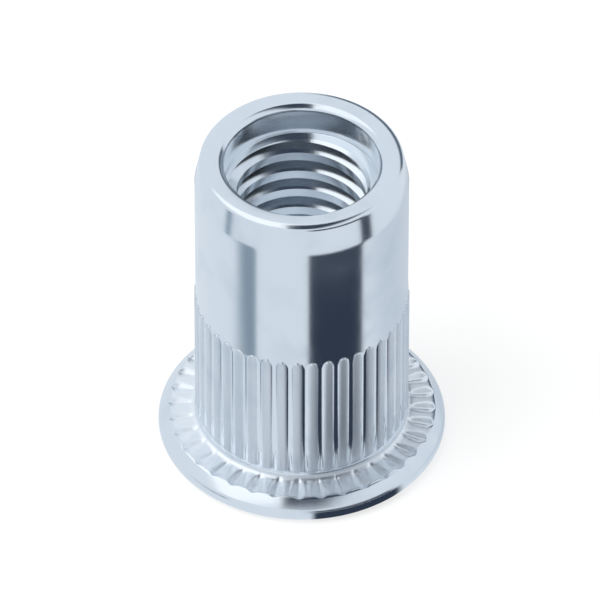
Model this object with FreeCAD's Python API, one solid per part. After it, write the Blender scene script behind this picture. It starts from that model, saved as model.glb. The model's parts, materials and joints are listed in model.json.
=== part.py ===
"""Rivet nut M8, flat head, knurled shank, open end.

Millimetres. The axis is Z. The outer face of the flange lies on Z = 0 and
the threaded end points to +Z. One turned and rolled piece.
"""
import FreeCAD
import Part
import math
import os

V = FreeCAD.Vector

# overall form
overall_length = 18.55
shank_diameter = 10.9
flange_diameter = 14.8

# flange: a raised serrated pad inside a rounded rim
pad_height = 1.3
rim_width = 0.45
pad_step = 0.12
pad_edge_chamfer = 0.04
rim_upper_round = 0.68
rim_lower_round = 0.5
shank_fillet = 0.4

# radial serrations under the head
serration_count = 36
serration_depth = 0.13
serration_width = 0.84
serration_end_facets = 3
serration_start_gap = 0.02
serration_edge_gap = 0.08
serration_turn = -1.7

# straight knurl, rolled: the ribs stand proud, the furrows lie a little deeper
knurl_count = 43
rib_height = 0.05
furrow_depth = 0.05
rib_root_width = 0.54
rib_flank_angle = 30.0
rib_end_height = 9.4
rib_end_facets = 3
rib_foot_gap = 0.05
furrow_end_height = 8.9
furrow_runout = 0.2
knurl_turn = -2.3

# threaded end
taper_length = 1.65
taper_inset = 0.27
end_round = 0.4
mouth_diameter = 8.3
mouth_depth = 1.85
mouth_chamfer = 0.2

# bores: thread core and thin wall that folds when the nut is set
thread_core_diameter = 6.65
thread_core_bottom = 8.8
thread_lead_chamfer = 0.15
thin_wall_thickness = 0.8
thin_wall_cone_angle = 60.0
flange_mouth_chamfer = 0.3

# radii used by the section
shank_radius = shank_diameter / 2
furrow_radius = shank_radius - furrow_depth
rib_radius = shank_radius + rib_height
flange_radius = flange_diameter / 2
pad_radius = flange_radius - rim_width
taper_end_radius = shank_radius - taper_inset
mouth_radius = mouth_diameter / 2
core_radius = thread_core_diameter / 2
thin_wall_radius = furrow_radius - thin_wall_thickness


def point(radius, height):
    """Point of the section, in the XZ plane."""
    return V(radius, 0, height)


def line(start, end):
    """Straight edge of the section."""
    return Part.makeLine(start, end)


def arc(centre, radius, angle, end_angle):
    """Arc of the section between two angles in degrees, with its end points."""
    points = []
    for part in (0.0, 0.5, 1.0):
        turn = math.radians(angle + (end_angle - angle) * part)
        points.append(centre + V(radius * math.cos(turn), 0, radius * math.sin(turn)))
    return Part.Arc(*points).toShape(), points[0], points[2]


def outer_section():
    """Edges of the outside, from the axis on the flange face up to the axis on the end face."""
    edges = []

    lower_centre = point(flange_radius - rim_lower_round, rim_lower_round)
    lower, lower_start, lower_end = arc(lower_centre, rim_lower_round, -90, 0)
    edges.append(line(point(0, 0), lower_start))
    edges.append(lower)

    rim_top = pad_height - pad_step
    upper_centre = point(flange_radius - rim_upper_round, rim_top - rim_upper_round)
    wall_angle = math.degrees(math.acos((pad_radius - upper_centre.x) / rim_upper_round))
    upper, upper_start, upper_end = arc(upper_centre, rim_upper_round, 0, wall_angle)
    if (upper_start - lower_end).Length > 1e-6:
        edges.append(line(lower_end, upper_start))
    edges.append(upper)

    wall_top = point(pad_radius, pad_height - pad_edge_chamfer)
    pad_edge = point(pad_radius - pad_edge_chamfer, pad_height)
    edges.append(line(upper_end, wall_top))
    edges.append(line(wall_top, pad_edge))

    fillet_centre = point(furrow_radius + shank_fillet, pad_height + shank_fillet)
    fillet, fillet_start, fillet_end = arc(fillet_centre, shank_fillet, 270, 180)
    edges.append(line(pad_edge, fillet_start))
    edges.append(fillet)

    furrow_top = point(furrow_radius, furrow_end_height)
    smooth_start = point(shank_radius, furrow_end_height + furrow_runout)
    taper_start = point(shank_radius, overall_length - taper_length)
    edges.append(line(fillet_end, furrow_top))
    edges.append(line(furrow_top, smooth_start))
    edges.append(line(smooth_start, taper_start))

    # the taper ends in a round that is tangent to the taper and to the end face
    slope = math.degrees(math.atan2(shank_radius - taper_end_radius, taper_length))
    reach = end_round * math.tan(math.radians((90 - slope) / 2))
    along = V(-math.sin(math.radians(slope)), 0, math.cos(math.radians(slope)))
    round_start = point(taper_end_radius, overall_length) - along * reach
    round_centre = point(taper_end_radius - reach, overall_length - end_round)
    end_arc, arc_start, arc_end = arc(round_centre, end_round, slope, 90)
    edges.append(line(taper_start, arc_start))
    edges.append(end_arc)
    edges.append(line(arc_end, point(0, overall_length)))
    edges.append(line(point(0, overall_length), point(0, 0)))
    return edges


def bore_section():
    """Corners of the bores, from the flange face up to the mouth of the thread."""
    cone_height = (thin_wall_radius - core_radius) / math.tan(math.radians(thin_wall_cone_angle))
    mouth_floor = overall_length - mouth_depth
    return [
        point(0, -1),
        point(thin_wall_radius + flange_mouth_chamfer + 1, -1),
        point(thin_wall_radius + flange_mouth_chamfer, 0),
        point(thin_wall_radius, flange_mouth_chamfer),
        point(thin_wall_radius, thread_core_bottom - cone_height),
        point(core_radius, thread_core_bottom),
        point(core_radius, mouth_floor - thread_lead_chamfer),
        point(core_radius + thread_lead_chamfer, mouth_floor),
        point(mouth_radius, mouth_floor),
        point(mouth_radius, overall_length - mouth_chamfer),
        point(mouth_radius + mouth_chamfer, overall_length),
        point(mouth_radius + mouth_chamfer, overall_length + 1),
        point(0, overall_length + 1),
        point(0, -1),
    ]


def turned(wire):
    """Solid of revolution about the axis."""
    return Part.Face(wire).revolve(V(0, 0, 0), V(0, 0, 1), 360)


def polyhedron(lower, upper):
    """Solid with flat faces between two outlines of equally many corners; the first may be a single point."""
    faces = []
    count = len(upper)
    for number in range(count):
        following = (number + 1) % count
        corners = [upper[number], upper[following]]
        if len(lower) > 1:
            corners.append(lower[following])
            corners.append(lower[number])
        else:
            corners.append(lower[0])
        faces.append(Part.Face(Part.makePolygon(corners + corners[:1])))
    for outline in (lower, upper):
        if len(outline) > 1:
            faces.append(Part.Face(Part.makePolygon(outline + outline[:1])))
    solid = Part.Solid(Part.Shell(faces))
    solid.fixTolerance(1e-7)
    if solid.Volume < 0:
        solid.reverse()
    return solid


def rib_outline(radius):
    """Corners of a rib at one radius: a straight foot and a round upper end, narrower further out."""
    inset = (radius - furrow_radius) * math.tan(math.radians(rib_flank_angle))
    half = rib_root_width / 2 - inset
    end_centre = rib_end_height - rib_root_width / 2
    foot = pad_height + shank_fillet + rib_foot_gap + inset
    corners = [V(radius, -half, foot), V(radius, half, foot)]
    for step in range(rib_end_facets + 1):
        turn = math.pi * step / rib_end_facets
        corners.append(V(radius, half * math.cos(turn), end_centre + half * math.sin(turn)))
    return corners


def knurl_rib():
    """One rib, from inside the shank up to a flat crown whose edges lie on the knurl diameter."""
    crown_half = rib_root_width / 2 - (rib_radius - furrow_radius) * math.tan(math.radians(rib_flank_angle))
    crown_radius = math.sqrt(rib_radius ** 2 - crown_half ** 2)
    return polyhedron(rib_outline(furrow_radius - 0.1), rib_outline(crown_radius))


def serration():
    """One furrow of the pad: it starts at the shank's fillet, widens and deepens outwards and ends round."""
    half = serration_width / 2
    inner_radius = furrow_radius + shank_fillet + serration_start_gap
    centre_radius = pad_radius - serration_edge_gap - half
    corners = [V(inner_radius, 0, pad_height)]
    for step in range(serration_end_facets + 1):
        turn = math.pi * (step / serration_end_facets - 0.5)
        corners.append(V(centre_radius + half * math.cos(turn), half * math.sin(turn), pad_height))
    deepest = V(centre_radius, 0, pad_height - serration_depth)
    return polyhedron([deepest], corners)


def around(shape, count, start=0.0):
    """Equal copies about the axis."""
    copies = []
    for number in range(count):
        copy = shape.copy()
        copy.rotate(V(0, 0, 0), V(0, 0, 1), start + 360.0 * number / count)
        copies.append(copy)
    return copies


blank = turned(Part.Wire(Part.__sortEdges__(outer_section())))

pad_cut = blank.cut(around(serration(), serration_count, -90 + serration_turn))

ribs = around(knurl_rib(), knurl_count, -90 + knurl_turn)
knurled = pad_cut.fuse(ribs)

bore = turned(Part.makePolygon(bore_section()))
rivet_nut = knurled.cut(bore)
if rivet_nut.ShapeType == "Compound" and len(rivet_nut.Solids) == 1:
    rivet_nut = rivet_nut.Solids[0]

os.makedirs("parts", exist_ok=True)
rivet_nut.exportStep("parts/rivet_nut.step")
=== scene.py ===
"""Rivet nut with a flat head: a zinc-plated, knurled and threaded sleeve, on a plain pale stage.

Lengths are metres. The axis of the nut is Z and the head stands on Z = 0.
Angles about the axis are counted from the front, -Y, and grow to the right, +X.
"""

import json
import math

import bmesh
import bpy
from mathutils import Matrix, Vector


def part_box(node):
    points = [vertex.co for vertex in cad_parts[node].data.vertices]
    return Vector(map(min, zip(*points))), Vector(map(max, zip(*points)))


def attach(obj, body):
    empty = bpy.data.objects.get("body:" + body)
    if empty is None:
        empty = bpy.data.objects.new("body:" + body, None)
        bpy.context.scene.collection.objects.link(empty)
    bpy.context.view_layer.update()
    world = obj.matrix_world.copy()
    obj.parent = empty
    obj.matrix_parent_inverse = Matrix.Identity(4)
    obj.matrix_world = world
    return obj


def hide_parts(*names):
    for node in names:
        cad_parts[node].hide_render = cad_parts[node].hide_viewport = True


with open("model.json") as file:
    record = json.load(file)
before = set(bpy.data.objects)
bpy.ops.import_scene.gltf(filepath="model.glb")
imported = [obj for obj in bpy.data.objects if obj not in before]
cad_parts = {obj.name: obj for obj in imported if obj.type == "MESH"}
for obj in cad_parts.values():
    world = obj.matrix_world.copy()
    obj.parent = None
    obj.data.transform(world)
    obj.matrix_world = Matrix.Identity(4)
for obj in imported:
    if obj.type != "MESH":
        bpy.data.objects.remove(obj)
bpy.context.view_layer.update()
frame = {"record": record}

bl_info = {
    "name": "Rivet Nut",
    "version": (1, 0, 0),
    "blender": (4, 5, 0),
    "location": "View3D > Sidebar > Rivet Nut",
    "description": "Models a knurled rivet nut with a serrated flat head, and a plain stage for it",
    "category": "Object",
}

MM = 0.001
NODE = "rivet_nut"
LOWEST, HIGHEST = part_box(NODE)
MOUNTS = {mount["name"]: mount for mount in frame["record"]["mounts"]}

# columns of points to one rib and to one furrow of the pad, and steps to one turn of the thread
RIB_COLUMNS = 12
SERRATION_COLUMNS = 14
THREAD_STEPS = 172

# how closely a point must lie on its ring to be picked, and the least depth that is pressed
MATCH = 0.003 * MM
SHALLOWEST = 0.0005 * MM

# what is left open for the bridges: half the height of the gap in the core, and degrees of the fillet
SEAM = 0.5 * MM
FILLET_GAP = 8

# points of the groove and of the nut this close become one, at a thousand times the size
GROOVE_MERGE = 0.001
NUT_MERGE = 0.0005

# edges that turn by less than this are shaded smooth
SMOOTH_ANGLE = math.radians(38)

# the floor lies this far below the head, whose outer face would otherwise flicker in it
FLOOR_GAP = 0.05 * MM

# the camera's sensor is this wide, in millimetres like its lens, and this is the point it looks at
SENSOR = 36.0
AIM = (-0.0904 * MM, -0.098 * MM, 8.816 * MM)

WHITE = (1.0, 1.0, 1.0, 1.0)


def mount_radius(name):
    """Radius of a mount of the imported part, in metres."""
    return MOUNTS[name]["dims"]["r_mm"] * MM


def length(name, description, millimetres):
    """A length that the user sets, given in millimetres."""
    return bpy.props.FloatProperty(
        name=name, description=description, default=millimetres * MM, min=0.0, unit="LENGTH", precision=5)


def angle(name, description, degrees):
    """An angle that the user sets, given in degrees."""
    return bpy.props.FloatProperty(
        name=name, description=description, default=math.radians(degrees), unit="ROTATION")


def colour(name, description, value):
    """An opaque colour that the user sets."""
    return bpy.props.FloatVectorProperty(
        name=name, description=description, default=(*value, 1.0), size=4, min=0.0, soft_max=1.0,
        subtype="COLOR")


def factor(name, description, value):
    """A plain number between nought and about one."""
    return bpy.props.FloatProperty(
        name=name, description=description, default=value, min=0.0, subtype="FACTOR")


class NutSizes(bpy.types.PropertyGroup):
    """Sizes of the rivet nut."""
    height: length("Height", "Length over all", HIGHEST.z / MM)
    flange_radius: length("Flange radius", "Outer radius of the head", HIGHEST.x / MM)
    rib_radius: length("Rib radius", "Radius over the ribs of the knurl", mount_radius("shank") / MM)
    core_radius: length("Core radius", "Radius inside the thread", mount_radius("thread") / MM)
    thin_wall_radius: length(
        "Thin wall radius", "Bore below the thread", mount_radius("thin_wall_bore") / MM)

    shank_radius: length("Shank radius", "Radius of the smooth end", 5.43)
    furrow_radius: length("Furrow radius", "Radius between the ribs", 5.40)
    furrow_end: length("Furrow end", "Height at which the furrows start to run out", 9.05)
    furrow_runout: length("Furrow run-out", "Height over which the furrows run out", 0.2)
    rib_count: bpy.props.IntProperty(name="Ribs", description="Ribs of the knurl", default=43, min=3)
    rib_turn: angle("Rib turn", "Angle of the rib nearest the front", -2.3)
    rib_root: angle("Rib root", "Half the angle over the root of a rib", 3.05)
    rib_end: length("Rib end", "Height of the tips of the ribs", 9.4)
    rib_tip: length("Rib tip", "Length of the round tips", 0.5)
    rib_foot: length("Rib foot", "Height over which the ribs fade out above the head", 0.2)

    taper: length("Taper", "Length of the tapered end", 1.65)
    end_radius: length("End radius", "Radius of the taper at the very end", 5.14)
    end_round: length("End round", "Round between the taper and the end face", 0.4)
    mouth_radius: length("Mouth radius", "Radius of the plain mouth of the thread", 3.95)
    mouth_depth: length("Mouth depth", "Depth of the mouth", 1.85)
    mouth_corner: length("Mouth corner", "Round between the floor and the wall of the mouth", 0.05)
    mouth_flare: length("Mouth flare", "Breadth and height of the flare at the mouth", 0.23)
    flare_edge: length("Flare edge", "Softness of the two edges of the flare", 0.03)
    lip_slope: angle("Lip slope", "Slope of the end face down to the mouth", 8.0)

    pad_height: length("Pad height", "Height of the serrated pad", 1.3)
    pad_radius: length("Pad radius", "Outer radius of the flat of the pad", 6.74)
    shoulder: length("Shoulder", "Round between the pad and the bevel of the rim", 0.27)
    bevel_angle: angle("Bevel angle", "Elevation of the way that the bevel of the rim faces", 42.0)
    rim_upper_round: length("Upper rim round", "Round between the bevel and the widest part of the rim", 0.5)
    rim_lower_round: length("Lower rim round", "Round below the rim", 0.45)
    fillet: length("Fillet", "Fillet between shank and head", 0.4)
    flange_chamfer: length("Flange chamfer", "Chamfer of the bore in the outer face", 0.3)
    cone_angle: angle("Cone angle", "Slope of the cone between thin wall and thread, from the axis", 60.0)
    core_bottom: length("Thread bottom", "Height at which the thread's core ends", 8.8)

    serration_count: bpy.props.IntProperty(
        name="Serrations", description="Radial furrows of the pad", default=36, min=3)
    serration_turn: angle("Serration turn", "Angle of the furrow nearest the front", -1.7)
    serration_depth: length("Serration depth", "Greatest depth of a furrow", 0.14)
    serration_width: length("Serration width", "Greatest width of a furrow", 0.82)
    serration_start: length("Serration start", "Radius at which the furrows start", 5.47)
    serration_taper: factor("Serration taper", "Share of its width and depth that a furrow starts with", 0.5)
    serration_opening: length("Furrow opening", "Length over which a furrow opens at its start", 0.35)
    serration_end: length("Serration end", "Radius at which the furrows end", 6.90)

    thread_pitch: length("Thread pitch", "Rise of one turn", 1.25)
    thread_depth: length("Thread depth", "Depth of the groove", 0.56)
    thread_crest: length("Thread crest", "Width of the crest", 0.50)
    thread_root: length("Thread root", "Width of the bottom of the groove", 0.11)
    thread_lead: length("Thread lead", "Chamfer of the core at the floor of the mouth", 0.15)
    thread_crest_height: length("Crest height", "Height of one crest at the back", 15.63)


class NutFinish(bpy.types.PropertyGroup):
    """Finish of the zinc-plated steel."""
    zinc: colour("Zinc", "Colour of the plating", (0.80, 0.84, 0.88))
    zinc_dull: colour("Dull zinc", "Colour where the plating is duller", (0.74, 0.79, 0.84))
    # painted light: the pad's zinc is made lighter so that its highlights come out brighter
    zinc_pad_painted_light: colour("Pressed zinc", "Colour of the frosted pad", (0.93, 0.96, 0.99))
    roughness: factor("Roughness", "Roughness of the turned surfaces", 0.14)
    pad_roughness: factor("Pad roughness", "Roughness of the pressed pad", 0.30)
    rib_roughness: factor("Rib roughness", "Roughness of the crowns of the rolled ribs", 0.56)
    roughness_spread: factor("Roughness spread", "How much rougher the dull places are", 0.05)
    grain_roughness: factor("Grain roughness", "How much rougher the fine grain is", 0.04)
    relief: factor("Relief", "Strength of the fine relief", 0.06)
    relief_height: length("Relief height", "Height of the fine relief", 0.02)
    ring_relief: factor("Ring relief", "Share of the turning rings in the fine relief", 0.6)
    rib_relief: factor("Rib relief", "How much more of the rings shows on the ribs", 1.5)
    grain_relief: factor("Grain relief", "Share of the grain in the fine relief", 0.4)


class StageSettings(bpy.types.PropertyGroup):
    """Floor, lights and camera, and the zones of floor, room and back card that only the metal mirrors; on
    the floor these are a painted reflection, with a painted shadow of the nut and painted shade.
    """
    frame_width: length("Frame width", "Width of the picture at the nut", 30.65)
    elevation: angle("Elevation", "Height of the camera above the horizon", 43.35)
    lens: bpy.props.FloatProperty(name="Lens", description="Focal length", default=600.0, unit="CAMERA")
    brightness: factor("Brightness", "Strength of the studio's light", 0.9)
    floor_glow: factor("Floor glow", "Share of plain white in the floor that the camera sees", 0.7)

    floor: colour("Floor", "Colour of the floor", (0.93, 0.94, 0.95))
    bright: colour("Bright", "Colour of the studio in the metal", (0.86, 0.93, 1.0))
    lamp: colour("Lamp", "Colour of the lamp overhead in the metal", (1.25, 1.3, 1.35))
    shade: colour("Shade", "Colour of the shaded floor at the right", (0.70, 0.77, 0.85))
    grey: colour("Grey", "Colour of the grey zones of the floor", (0.28, 0.36, 0.44))
    slate: colour("Slate", "Colour of the grey part of the back card", (0.13, 0.16, 0.21))
    # on the floor this dark is painted shadow, the nut's shadow as the metal mirrors it; in the room it
    # darkens the flag and the gap
    dark: colour("Dark", "Colour of the dark zones", (0.035, 0.05, 0.08))

    # these angles bound the painted shadow of the nut on the floor
    dark_start: angle("Dark start", "Angle of the shank at which it begins to mirror the dark zone", 3.7)
    dark_end: angle("Dark end", "Angle of the shank at which it ends mirroring the dark zone", 34.5)
    grey_start: angle("Grey start", "Angle of the shank at which it begins to mirror the grey zone", -36.0)
    grey_end: angle("Grey end", "Angle of the shank at which it ends mirroring the grey zone", -25.4)
    grey_distance: length("Grey distance", "Distance from the axis at which the grey zone begins", 11.0)
    near_reach: length("Near reach", "Distance from the axis at which the near zones end", 27.0)
    far_dark_start: angle("Far dark start", "Angle at which the far dark zone begins", 58.0)
    far_dark_end: angle("Far dark end", "Angle at which the far dark zone ends", 70.0)
    far_grey_start: angle("Far grey start", "Angle at which the far grey zone begins", -78.0)
    far_grey_end: angle("Far grey end", "Angle at which the far grey zone ends", -71.0)
    shade_start: angle("Shade start", "Angle at which the shaded floor begins", 75.0)
    shade_end: angle("Shade end", "Angle at which the shaded floor ends", 165.0)
    gap_start: angle("Gap start", "Angle at which the dark gap in the room begins", 7.0)
    gap_end: angle("Gap end", "Angle at which the dark gap in the room ends", 66.0)


class Channel:
    """A value of a shader. Arithmetic on it adds Math nodes."""

    def __init__(self, desk, socket):
        self.desk = desk
        self.socket = socket

    def __add__(self, other):
        return self.desk.maths("ADD", self, other)

    def __radd__(self, other):
        return self.desk.maths("ADD", other, self)

    def __sub__(self, other):
        return self.desk.maths("SUBTRACT", self, other)

    def __rsub__(self, other):
        return self.desk.maths("SUBTRACT", other, self)

    def __mul__(self, other):
        return self.desk.maths("MULTIPLY", self, other)

    def __rmul__(self, other):
        return self.desk.maths("MULTIPLY", other, self)

    def __truediv__(self, other):
        return self.desk.maths("DIVIDE", self, other)

    def __rtruediv__(self, other):
        return self.desk.maths("DIVIDE", other, self)


class NodeDesk:
    """Adds nodes to one tree and wires them."""

    def __init__(self, tree):
        self.tree = tree
        self.tree.nodes.clear()

    def add(self, kind, settings=None, sockets=None, output=0):
        """Adds a node, its settings first and then the values or links of its sockets. Gives one output."""
        node = self.tree.nodes.new(kind)
        for name, value in (settings or {}).items():
            setattr(node, name, value)
        for name, value in (sockets or {}).items():
            if isinstance(value, Channel):
                self.tree.links.new(value.socket, node.inputs[name])
            else:
                node.inputs[name].default_value = value
        return Channel(self, node.outputs[output]) if node.outputs else None

    def maths(self, operation, *values):
        """One Math node."""
        return self.add("ShaderNodeMath", {"operation": operation}, dict(enumerate(values)))

    def smooth_step(self, value, low, high):
        """Rises smoothly from nought to one between two values."""
        settings = {"interpolation_type": "SMOOTHSTEP"}
        return self.add("ShaderNodeMapRange", settings, {"Value": value, "From Min": low, "From Max": high})

    def band(self, value, low, high, blur):
        """Mask of the values between two limits."""
        above = self.smooth_step(value, low - blur, low + blur)
        below = 1 - self.smooth_step(value, high - blur, high + blur)
        return above * below

    def blend(self, mask, first, second):
        """Mixes two colours by a mask. The colours share their sockets' names, so they go by number."""
        return self.add("ShaderNodeMix", {"data_type": "RGBA"}, {"Factor": mask, 6: first, 7: second}, 2)

    def noise(self, place, scale, detail):
        """Noise over a place."""
        return self.add("ShaderNodeTexNoise", sockets={"Vector": place, "Scale": scale, "Detail": detail})

    def split(self, vector):
        """The three parts of a vector."""
        part = self.add("ShaderNodeSeparateXYZ", sockets={"Vector": vector})
        return [Channel(self, socket) for socket in part.socket.node.outputs]

    def turn(self, x, y):
        """Angle about the axis, from the front to the right."""
        return self.maths("ARCTAN2", x, y * -1.0)

    def distance(self, x, y):
        """Distance from the axis."""
        return self.maths("SQRT", x * x + y * y)


def deselect():
    """Leaves edit mode and selects nothing."""
    if bpy.context.object and bpy.context.object.mode != "OBJECT":
        bpy.ops.object.mode_set(mode="OBJECT")
    bpy.ops.object.select_all(action="DESELECT")


def pick(piece, test):
    """Selects the points of a piece in edit mode whose place passes the test."""
    mesh = bmesh.from_edit_mesh(piece.data)
    for point in mesh.verts:
        point.select = test(point.co)
    mesh.select_mode = {"VERT"}
    mesh.select_flush_mode()
    bmesh.update_edit_mesh(piece.data)


def pick_open_edges(piece, height, reach):
    """Selects the open edges of a piece in edit mode that lie within reach of a height."""
    bpy.ops.mesh.select_all(action="DESELECT")
    mesh = bmesh.from_edit_mesh(piece.data)
    for edge in mesh.edges:
        if len(edge.link_faces) == 1 and all(abs(point.co.z - height) < reach for point in edge.verts):
            edge.select = True
    mesh.select_mode = {"EDGE"}
    mesh.select_flush_mode()
    bmesh.update_edit_mesh(piece.data)


def off_centre(place, count, turn):
    """Angle of a point from the middle of the nearest of equally spaced features."""
    pitch = 2 * math.pi / count
    angle_about = math.atan2(place.x, -place.y)
    return (angle_about - turn + pitch / 2) % pitch - pitch / 2


def pick_columns(piece, ring, count, turn, columns, number):
    """Selects the points of a ring, given by radius and height, in some of its columns.

    They lie a number of columns to both sides of each feature's middle. The features are equally
    spaced from one turn on, and each spans a count of columns.
    """
    radius, height = ring
    column = 2 * math.pi / count / columns

    def on_column(place):
        """Tells whether a point is on this ring and in one of these columns."""
        if abs(place.z - height) > MATCH or abs(math.hypot(place.x, place.y) - radius) > MATCH:
            return False
        return abs(abs(off_centre(place, count, turn)) - number * column) < column / 4

    pick(piece, on_column)


def arc(centre, radius, start, end, steps):
    """Points of a section along an arc, angles in degrees from outwards to up."""
    points = []
    for step in range(steps + 1):
        turn = math.radians(start + (end - start) * step / steps)
        points.append((centre[0] + radius * math.cos(turn), centre[1] + radius * math.sin(turn)))
    return points


def turn_section(name, columns, first_angle, section):
    """Turns a section ring by ring, from a circle with a column of points at the first angle."""
    deselect()
    radius, height = section[0]
    bpy.ops.mesh.primitive_circle_add(
        vertices=columns, radius=radius, fill_type="NOTHING", location=(0, 0, height),
        rotation=(0, 0, math.pi + first_angle))
    piece = bpy.context.object
    piece.name = name
    piece.data.name = name
    bpy.ops.object.transform_apply(location=True, rotation=True, scale=True)
    bpy.ops.object.mode_set(mode="EDIT")
    bpy.ops.mesh.select_all(action="SELECT")
    for (old_radius, old_height), (radius, height) in zip(section, section[1:]):
        bpy.ops.mesh.extrude_edges_move(TRANSFORM_OT_translate={"value": (0, 0, height - old_height)})
        growth = radius / old_radius
        bpy.ops.transform.resize(value=(growth, growth, 1), center_override=(0, 0, height))
    return piece


def dome(value, root):
    """Falls as a fourth power, slowly and then steeply, from one to nought at the root."""
    return max(1 - (value / root) ** 4, 0.0)


def furrow_base(size, height):
    """Radius of the ground between the ribs at a height."""
    share = min(max((height - size.furrow_end) / size.furrow_runout, 0.0), 1.0)
    return size.furrow_radius + (size.shank_radius - size.furrow_radius) * share


def rib_rows(size):
    """Rings of the knurl from the tips down: height, and shares of a rib's width and height."""
    steps = 7
    rows = [(size.rib_end, 1.0, 0.0)]
    for step in range(1, steps + 1):
        turn = math.pi / 2 * step / steps
        rows.append((size.rib_end - size.rib_tip * (1 - math.cos(turn)), math.sin(turn), 1.0))

    # towards the head the ribs fade out: share of the foot's height that is left, and of a rib's height
    foot = size.pad_height + size.fillet
    for rise, share in ((1.0, 1.0), (0.66, 0.8), (0.33, 0.35), (0.0, 0.0)):
        rows.append((foot + size.rib_foot * rise, 1.0, share))
    return rows


def core_seam(size):
    """Height in the thread's core at which the shank's rings and the flange's rings meet."""
    return (size.core_bottom + size.height - size.mouth_depth) / 2


def mouth_section(size, lip):
    """Section from inside the core over the mouth's floor and wall to the flare, which ends at the lip."""
    floor = size.height - size.mouth_depth
    corner = size.mouth_corner
    section = [
        (size.core_radius, core_seam(size) + SEAM),
        (size.core_radius, floor - size.thread_lead),
        (size.core_radius + size.thread_lead, floor),
    ]
    section += arc((size.mouth_radius - corner, floor + corner), corner, -90, 0, steps=3)

    # three rings about each edge of the flare keep it soft and the faces beside it plain
    edge = size.flare_edge
    fall = math.tan(size.lip_slope)
    lip_radius = size.mouth_radius + size.mouth_flare
    flare_start = lip - size.mouth_flare
    section += [
        (size.mouth_radius, flare_start - 4 * edge),
        (size.mouth_radius, flare_start - edge),
        (size.mouth_radius + edge, flare_start + edge),
        (lip_radius - edge, lip - edge),
        (lip_radius + edge, lip + edge * fall),
        (lip_radius + 3 * edge, lip + 3 * edge * fall),
    ]
    return section


def shank_section(size):
    """Section from inside the core up the mouth, over the end face and down the outside to the fillet."""
    slope = math.atan2(size.shank_radius - size.end_radius, size.taper)
    reach = size.end_round * math.tan((math.pi / 2 - slope) / 2)
    centre = (size.end_radius - reach, size.height - size.end_round)
    crown = arc(centre, size.end_round, 90 + math.degrees(size.lip_slope), math.degrees(slope), steps=9)
    lip_radius = size.mouth_radius + size.mouth_flare
    lip = crown[0][1] - (crown[0][0] - lip_radius) * math.tan(size.lip_slope)

    # the taper begins softly, with a hair of swell, and the last ring keeps the ribs' tips off the shank
    taper_start = size.height - size.taper
    stretch = 0.15 * MM
    swell = 0.02 * MM * math.tan(slope)
    above_tips = 0.06 * MM
    outside = [
        (size.shank_radius + swell, taper_start + stretch),
        (size.shank_radius, taper_start - stretch),
        (size.shank_radius, (taper_start + size.rib_end) / 2),
        (size.shank_radius, size.rib_end + above_tips),
    ]
    for height, _, _ in rib_rows(size):
        outside.append((furrow_base(size, height), height))
    return mouth_section(size, lip) + crown + outside


def raise_ribs(piece, size):
    """Scales the columns of the knurl outwards, ring by ring, into ribs with crown, flanks and round tip."""
    column = 2 * math.pi / size.rib_count / RIB_COLUMNS
    for height, width, share in rib_rows(size):
        base = furrow_base(size, height)
        for number in range(RIB_COLUMNS // 2):
            rise = dome(number * column / width, size.rib_root) * share
            if rise > 0:
                pick_columns(piece, (base, height), size.rib_count, size.rib_turn, RIB_COLUMNS, number)
                growth = 1 + (size.rib_radius - base) * rise / base
                bpy.ops.transform.resize(value=(growth, growth, 1), center_override=(0, 0, height))


def knurled_shank(size):
    """The upper core, the mouth, the end face, the smooth end and the knurl."""
    columns = size.rib_count * RIB_COLUMNS
    piece = turn_section("knurled_shank", columns, size.rib_turn, shank_section(size))
    raise_ribs(piece, size)
    return piece


def pad_rings(size):
    """Rings of the fillet, the pad and its shoulder, as radius and height, on which the furrows lie."""
    foot = (size.furrow_radius + size.fillet, size.pad_height + size.fillet)
    rings = arc(foot, size.fillet, 180 + FILLET_GAP, 270, steps=7)
    steps = 7
    for step in range(1, steps):
        rings.append((foot[0] + (size.pad_radius - foot[0]) * step / steps, size.pad_height))
    centre = (size.pad_radius, size.pad_height - size.shoulder)
    return rings + arc(centre, size.shoulder, 90, math.degrees(size.bevel_angle), steps=6)


def furrow_share(size, radius):
    """Share of its greatest width and depth that a furrow has at a radius: it widens and ends round."""
    half = size.serration_width / 2
    widest = size.serration_end - half
    if radius < size.serration_start:
        return 0.0
    if radius <= widest:
        share = (radius - size.serration_start) / (widest - size.serration_start)
        opening = min((radius - size.serration_start) / size.serration_opening, 1.0)
        return (size.serration_taper + (1 - size.serration_taper) * share) * opening
    return math.sqrt(max(1 - ((radius - widest) / half) ** 2, 0.0))


def rim_centre(size):
    """Centre of the upper rim round, at the height that makes the bevel a tangent of both its rounds."""
    outwards = math.cos(size.bevel_angle)
    upwards = math.sin(size.bevel_angle)
    radius = size.flange_radius - size.rim_upper_round
    reach = outwards * size.pad_radius + upwards * (size.pad_height - size.shoulder) + size.shoulder
    return (radius, (reach - outwards * radius - size.rim_upper_round) / upwards)


def flange_section(size):
    """Section from the fillet over pad and rim, along the outer face and up the bores into the core."""
    section = pad_rings(size)
    section += arc(rim_centre(size), size.rim_upper_round, math.degrees(size.bevel_angle), 0, steps=7)
    lower_centre = (size.flange_radius - size.rim_lower_round, size.rim_lower_round)
    section += arc(lower_centre, size.rim_lower_round, 0, -90, steps=10)

    cone_height = (size.thin_wall_radius - size.core_radius) / math.tan(size.cone_angle)
    return section + [
        (size.thin_wall_radius + size.flange_chamfer, 0),
        (size.thin_wall_radius, size.flange_chamfer),
        (size.thin_wall_radius, size.core_bottom - cone_height),
        (size.core_radius, size.core_bottom),
        (size.core_radius, core_seam(size) - SEAM),
    ]


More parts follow.
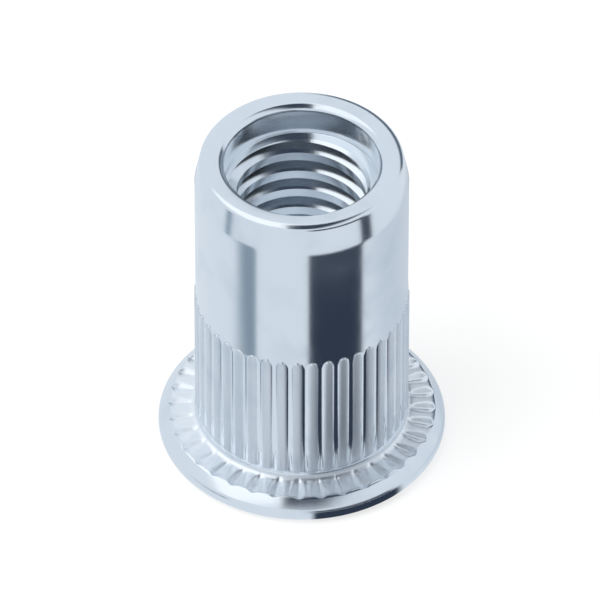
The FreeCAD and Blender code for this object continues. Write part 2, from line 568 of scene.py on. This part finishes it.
def press_serrations(piece, size):
    """Lowers the columns of the pad, ring by ring, into furrows that deepen outwards and end round."""
    count = size.serration_count
    column = 2 * math.pi / count / SERRATION_COLUMNS
    for ring in pad_rings(size):
        share = furrow_share(size, ring[0])
        if share == 0:
            continue
        half = size.serration_width / 2 * share / ring[0]
        for number in range(SERRATION_COLUMNS // 2):
            depth = size.serration_depth * share * (1 - number * column / half)
            if depth > SHALLOWEST:
                pick_columns(piece, ring, count, size.serration_turn, SERRATION_COLUMNS, number)
                bpy.ops.transform.translate(value=(0, 0, -depth))


def serrated_flange(size):
    """The head with its serrated pad and round rim, the outer face, the thin wall and the lower core."""
    columns = size.serration_count * SERRATION_COLUMNS
    piece = turn_section("serrated_flange", columns, size.serration_turn, flange_section(size))
    press_serrations(piece, size)
    return piece


def groove_section(size):
    """Corners of the groove between two crests, as radius and height above its middle.

    They run from the core outwards and back. The first and last lie inside the bore, so that the cut
    goes through the core's wall.
    """
    mouth = (size.thread_pitch - size.thread_crest) / 2
    root = size.thread_root / 2
    slope = (mouth - root) / size.thread_depth
    inside = 0.1 * MM
    outer = size.core_radius + size.thread_depth
    return [
        (size.core_radius - inside, mouth + inside * slope),
        (outer, root),
        (outer, -root),
        (size.core_radius - inside, -mouth - inside * slope),
    ]


def thread_groove(size):
    """The groove of the thread as a solid, a thousand times the size.

    One cross-section is screwed up from the thin wall into the mouth.
    """
    deselect()
    section = groove_section(size)
    middle = size.thread_crest_height + size.thread_pitch / 2
    lowest = size.core_bottom - size.thread_pitch
    start = middle - math.ceil((middle - lowest) / size.thread_pitch) * size.thread_pitch
    highest = size.height - size.mouth_depth + size.thread_pitch / 2
    turns = math.ceil((highest - start) / size.thread_pitch)

    radius, height = section[0]
    bpy.ops.mesh.primitive_plane_add(size=MM, location=(0, radius, start + height))
    piece = bpy.context.object
    piece.name = "thread_groove"
    bpy.ops.object.transform_apply(location=True, rotation=True, scale=True)
    bpy.ops.object.mode_set(mode="EDIT")
    bpy.ops.mesh.select_all(action="SELECT")
    bpy.ops.mesh.merge(type="CENTER")
    for (old_radius, old_height), (radius, height) in zip(section, section[1:]):
        step = (0, radius - old_radius, height - old_height)
        bpy.ops.mesh.extrude_vertices_move(TRANSFORM_OT_translate={"value": step})
    pick(piece, lambda place: place.y < size.core_radius)
    bpy.ops.mesh.edge_face_add()
    bpy.ops.object.mode_set(mode="OBJECT")

    screw = piece.modifiers.new("screw", "SCREW")
    screw.axis = "Z"
    screw.angle = 2 * math.pi
    screw.screw_offset = size.thread_pitch
    screw.iterations = turns
    screw.steps = THREAD_STEPS
    screw.render_steps = THREAD_STEPS
    bpy.ops.object.modifier_apply(modifier=screw.name)

    bpy.ops.object.mode_set(mode="EDIT")
    scale_all(1 / MM)
    bpy.ops.mesh.remove_doubles(threshold=GROOVE_MERGE)
    for end in (start, start + turns * size.thread_pitch):
        pick_open_edges(piece, end / MM, size.thread_pitch / 2 / MM)
        bpy.ops.mesh.edge_face_add()
    bpy.ops.mesh.select_all(action="SELECT")
    bpy.ops.mesh.normals_make_consistent(inside=False)
    bpy.ops.object.mode_set(mode="OBJECT")
    return piece


def scale_all(scale):
    """Scales the whole piece in edit mode about the origin."""
    bpy.ops.mesh.select_all(action="SELECT")
    bpy.ops.transform.resize(value=(scale, scale, scale), center_override=(0, 0, 0))


def bridge_near(piece, height, reach):
    """Bridges the two open loops that lie within reach of a height."""
    pick_open_edges(piece, height, reach)
    bpy.ops.mesh.bridge_edge_loops()


def cut_thread(nut, size):
    """Closes the nut and cuts the thread's groove.

    Both are done at a thousand times the size, because both round lengths.
    """
    bpy.ops.object.mode_set(mode="EDIT")
    scale_all(1 / MM)
    foot = size.pad_height + size.fillet
    bridge_near(nut, foot / MM, size.fillet / 2 / MM)
    bridge_near(nut, core_seam(size) / MM, 2 * SEAM / MM)
    bpy.ops.mesh.select_all(action="SELECT")
    bpy.ops.mesh.remove_doubles(threshold=NUT_MERGE)
    bpy.ops.mesh.normals_make_consistent(inside=False)
    groove = thread_groove(size)

    deselect()
    nut.select_set(True)
    bpy.context.view_layer.objects.active = nut
    boolean = nut.modifiers.new("thread", "BOOLEAN")
    boolean.operation = "DIFFERENCE"
    boolean.solver = "EXACT"
    boolean.object = groove
    bpy.ops.object.modifier_apply(modifier=boolean.name)
    bpy.ops.object.mode_set(mode="EDIT")
    scale_all(MM)

    deselect()
    groove.select_set(True)
    bpy.ops.object.delete()


def joined(pieces, name):
    """Makes one piece of several."""
    deselect()
    for piece in pieces:
        piece.select_set(True)
    bpy.context.view_layer.objects.active = pieces[0]
    bpy.ops.object.join()
    piece = bpy.context.object
    piece.name = name
    piece.data.name = name
    return piece


def new_material(name):
    """An empty material and the desk for its nodes."""
    material = bpy.data.materials.new(name)
    material.use_nodes = True
    return material, NodeDesk(material.node_tree)


def worked_zones(desk, place, size):
    """Masks of the crowns of the rolled ribs and of the pressed pad."""
    x, y, z = desk.split(place)
    radius = desk.distance(x, y)
    crown = desk.smooth_step(radius, size.furrow_radius + 0.02 * MM, size.furrow_radius + 0.07 * MM)
    below_tips = 1 - desk.smooth_step(z, size.rib_end - 0.1 * MM, size.rib_end + 0.05 * MM)
    above_pad = desk.smooth_step(z, size.pad_height + 0.05 * MM, size.pad_height + 0.15 * MM)
    ribs = crown * below_tips * above_pad
    pad = desk.band(radius, size.furrow_radius, size.pad_radius, 0.1 * MM) * (1 - above_pad)
    return ribs, pad


def zinc_plated_steel(finish, size):
    """Bright zinc plating: mirror-like where turned, satin on the rolled ribs and the pressed pad."""
    material, desk = new_material("zinc_plated_steel")
    place = desk.add("ShaderNodeTexCoord", output="Object")
    stretched = desk.add("ShaderNodeMapping", sockets={"Vector": place, "Scale": (300.0, 300.0, 9000.0)})
    clouds = desk.noise(place, scale=420.0, detail=3.0)
    rings = desk.noise(stretched, scale=1.0, detail=2.0)
    grain = desk.noise(place, scale=6000.0, detail=2.0)
    ribs, pad = worked_zones(desk, place, size)

    dull = desk.smooth_step(clouds, 0.45, 0.75)
    tone = desk.blend(dull, finish.zinc, finish.zinc_dull)
    # painted light: the pad gets the lighter zinc, which brightens its highlights
    tone = desk.blend(pad, tone, finish.zinc_pad_painted_light)
    satin = ribs * (finish.rib_roughness - finish.roughness)
    frosted = pad * (finish.pad_roughness - finish.roughness)
    uneven = dull * finish.roughness_spread + grain * finish.grain_roughness
    roughness = satin + frosted + uneven + finish.roughness
    relief = rings * (ribs * finish.rib_relief + finish.ring_relief) + grain * finish.grain_relief
    bump = desk.add("ShaderNodeBump", sockets={
        "Strength": finish.relief, "Distance": finish.relief_height, "Height": relief})
    surface = desk.add("ShaderNodeBsdfPrincipled", sockets={
        "Base Color": tone, "Roughness": roughness, "Metallic": 1.0, "Normal": bump})
    desk.add("ShaderNodeOutputMaterial", sockets={"Surface": surface})
    return material


class RIVETNUT_OT_nut(bpy.types.Operator):
    """Model the rivet nut as one closed, turned and rolled piece"""
    bl_idname = "rivetnut.nut"
    bl_label = "Add Rivet Nut"
    bl_options = {"REGISTER", "UNDO"}

    def execute(self, context):
        size = context.scene.nut_sizes
        shank = knurled_shank(size)
        flange = serrated_flange(size)
        nut = joined([shank, flange], "rivet_nut_plated")
        cut_thread(nut, size)

        deselect()
        nut.select_set(True)
        context.view_layer.objects.active = nut
        bpy.ops.object.shade_smooth_by_angle(angle=SMOOTH_ANGLE)
        nut.data.materials.append(zinc_plated_steel(context.scene.nut_finish, size))

        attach(nut, "root")
        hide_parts(NODE)
        return {"FINISHED"}


def wedge_mask(desk, place, size, first, last):
    """Mask of the sector of the floor that the shank mirrors between two edges.

    Each edge is an angle of the shank and the blur of its image on the floor.
    """
    x, y, _ = desk.split(place)
    masks = []
    for (turn, blur), side in ((first, 1), (last, -1)):
        start_x = size.shank_radius * math.sin(turn)
        start_y = -size.shank_radius * math.cos(turn)
        along_x = math.sin(2 * turn)
        along_y = -math.cos(2 * turn)
        inwards = ((y - start_y) * along_x - (x - start_x) * along_y) * side
        masks.append(desk.smooth_step(inwards, -blur, blur))
    return masks[0] * masks[1]


def floor_material(stage, size):
    """Plain pale floor; in the metal it shows a painted reflection instead: a dark wedge painted as the
    nut's shadow, a far dark band, grey zones and painted shade at the right.
    """
    material, desk = new_material("pale_floor")
    place = desk.add("ShaderNodeTexCoord", output="Object")
    x, y, _ = desk.split(place)
    turn = desk.turn(x, y)
    distance = desk.distance(x, y)
    far = desk.smooth_step(distance, stage.near_reach - 1 * MM, stage.near_reach + 1 * MM)
    near = 1 - far
    outside = desk.smooth_step(distance, stage.grey_distance - 2 * MM, stage.grey_distance + 2 * MM)

    # painted reflection: the near dark wedge is a painted shadow of the nut on the floor, and the shaded
    # right is painted shade
    near_painted_shadow = wedge_mask(desk, place, size, (stage.dark_start, 0.25 * MM), (stage.dark_end, 0.4 * MM))
    far_dark = desk.band(turn, stage.far_dark_start, stage.far_dark_end, 0.02)
    near_grey = wedge_mask(desk, place, size, (stage.grey_start, 3.0 * MM), (stage.grey_end, 0.25 * MM))
    far_grey = desk.band(turn, stage.far_grey_start, stage.far_grey_end, 0.02)
    shade = desk.band(turn, stage.shade_start, stage.shade_end, 0.3)
    mirrored = desk.blend(shade * near, stage.bright, stage.shade)
    mirrored = desk.blend(near_grey * near * outside + far_grey * far, mirrored, stage.grey)
    mirrored = desk.blend(near_painted_shadow * near + far_dark * far, mirrored, stage.dark)

    # the zones glow for glossy rays only, a painted reflection of the floor that no lamp lights
    zones = desk.add("ShaderNodeEmission", sockets={"Color": mirrored, "Strength": stage.brightness})
    pale = desk.add("ShaderNodeBsdfDiffuse", sockets={"Color": stage.floor})
    white = desk.add("ShaderNodeEmission", sockets={"Color": WHITE, "Strength": 1.0})
    camera = desk.add("ShaderNodeLightPath", output="Is Camera Ray")
    glossy = desk.add("ShaderNodeLightPath", output="Is Glossy Ray")
    seen = desk.add("ShaderNodeMixShader", sockets={0: camera * stage.floor_glow, 1: pale, 2: white})
    surface = desk.add("ShaderNodeMixShader", sockets={0: glossy, 1: seen, 2: zones})
    desk.add("ShaderNodeOutputMaterial", sockets={"Surface": surface})
    return material


def studio_world(context, stage):
    """White studio; the metal also sees a dark flag and a bright lamp overhead, and a low dark gap."""
    world = bpy.data.worlds.new("studio")
    context.scene.world = world
    world.use_nodes = True
    desk = NodeDesk(world.node_tree)
    x, y, z = desk.split(desk.add("ShaderNodeTexCoord", output="Generated"))
    low = 1 - desk.smooth_step(z, 0.28, 0.36)
    gap = desk.band(desk.turn(x, y), stage.gap_start, stage.gap_end, 0.03) * low

    # the lamp and the flag lie side by side on a sheet one unit up, and their side edges slant
    overhead = desk.smooth_step(z, 0.15, 0.25)
    rise = desk.maths("MAXIMUM", z, 0.1)
    slant = 0.2
    back = y / rise
    across = x / rise - back * slant
    parting = -0.09
    parting_blur = 0.015
    flag_left = desk.smooth_step(across, parting - parting_blur, parting + parting_blur)
    flag_right = 1 - desk.smooth_step(across, 0.45, 1.0)
    flag = flag_left * flag_right * desk.band(back, -1.3, 0.12, 0.04) * overhead
    lamp = desk.band(across, -1.60, parting, parting_blur) * desk.band(back, -1.2, 0.60, 0.1) * overhead

    mirrored = desk.blend(lamp, stage.bright, stage.lamp)
    mirrored = desk.blend(desk.maths("MAXIMUM", flag, gap), mirrored, stage.dark)
    glossy = desk.add("ShaderNodeLightPath", output="Is Glossy Ray")
    tone = desk.blend(glossy, WHITE, mirrored)
    light = desk.add("ShaderNodeBackground", sockets={"Color": tone, "Strength": stage.brightness})
    desk.add("ShaderNodeOutputWorld", sockets={"Surface": light})


def back_card(stage):
    """A card behind the nut, bright with a grey part at the lower right, that only the metal sees."""
    deselect()
    bpy.ops.mesh.primitive_plane_add(
        size=120 * MM, location=(0, 45 * MM, 75 * MM), rotation=(math.pi / 2, 0, 0))
    card = bpy.context.object
    card.name = "back_card"
    card.visible_camera = False
    card.visible_diffuse = False
    card.visible_shadow = False

    material, desk = new_material("back_card")
    across, up, _ = desk.split(desk.add("ShaderNodeTexCoord", output="Object"))
    right = desk.smooth_step(across, 0.5 * MM, 5 * MM)
    low = 1 - desk.smooth_step(up, -30 * MM, -26 * MM)
    tone = desk.blend(right * low, stage.bright, stage.slate)
    light = desk.add("ShaderNodeEmission", sockets={"Color": tone, "Strength": stage.brightness})
    desk.add("ShaderNodeOutputMaterial", sockets={"Surface": light})
    card.data.materials.append(material)


def soft_box():
    """A large soft lamp above the left, which the metal doesn't mirror."""
    bpy.ops.object.light_add(type="AREA", location=(-0.25, -0.1, 0.45), rotation=(0.1, -0.5, 0))
    lamp = bpy.context.object
    lamp.name = "soft_box"
    lamp.data.size = 0.3
    lamp.data.energy = 1.5
    lamp.visible_glossy = False


def stage_camera(scene, stage):
    """A camera in front of the nut that looks down at it from far away."""
    distance = stage.frame_width * stage.lens / SENSOR
    x, y, z = AIM
    bpy.ops.object.camera_add(
        location=(x, y - distance * math.cos(stage.elevation), z + distance * math.sin(stage.elevation)),
        rotation=(math.pi / 2 - stage.elevation, 0, 0))
    camera = bpy.context.object
    camera.data.lens = stage.lens
    camera.data.clip_start = 0.01
    camera.data.clip_end = 10.0
    scene.camera = camera


class RIVETNUT_OT_stage(bpy.types.Operator):
    """Set the floor, the lights and the camera around the nut"""
    bl_idname = "rivetnut.stage"
    bl_label = "Set the Stage"
    bl_options = {"REGISTER", "UNDO"}

    def execute(self, context):
        scene = context.scene
        stage = scene.nut_stage
        scene.view_settings.view_transform = "Standard"
        studio_world(context, stage)

        deselect()
        bpy.ops.mesh.primitive_plane_add(size=2000 * MM, location=(0, 0, LOWEST.z - FLOOR_GAP))
        floor = context.object
        floor.name = "floor"
        floor.data.materials.append(floor_material(stage, scene.nut_sizes))
        back_card(stage)
        soft_box()
        stage_camera(scene, stage)
        return {"FINISHED"}


class RIVETNUT_PT_panel(bpy.types.Panel):
    """Sidebar panel with the pieces and their sizes"""
    bl_idname = "RIVETNUT_PT_panel"
    bl_label = "Rivet Nut"
    bl_space_type = "VIEW_3D"
    bl_region_type = "UI"
    bl_category = "Rivet Nut"

    def draw(self, context):
        layout = self.layout
        for operator in (RIVETNUT_OT_nut, RIVETNUT_OT_stage):
            layout.operator(operator.bl_idname)
        for group in (context.scene.nut_sizes, context.scene.nut_finish, context.scene.nut_stage):
            box = layout.box()
            for name in group.__annotations__:
                box.prop(group, name)


CLASSES = (NutSizes, NutFinish, StageSettings, RIVETNUT_OT_nut, RIVETNUT_OT_stage, RIVETNUT_PT_panel)


def register():
    for item in CLASSES:
        bpy.utils.register_class(item)
    bpy.types.Scene.nut_sizes = bpy.props.PointerProperty(type=NutSizes)
    bpy.types.Scene.nut_finish = bpy.props.PointerProperty(type=NutFinish)
    bpy.types.Scene.nut_stage = bpy.props.PointerProperty(type=StageSettings)


def unregister():
    del bpy.types.Scene.nut_stage
    del bpy.types.Scene.nut_finish
    del bpy.types.Scene.nut_sizes
    for item in reversed(CLASSES):
        bpy.utils.unregister_class(item)


def main():
    register()
    bpy.ops.rivetnut.nut()
    bpy.ops.rivetnut.stage()


if __name__ == "__main__":
    main()
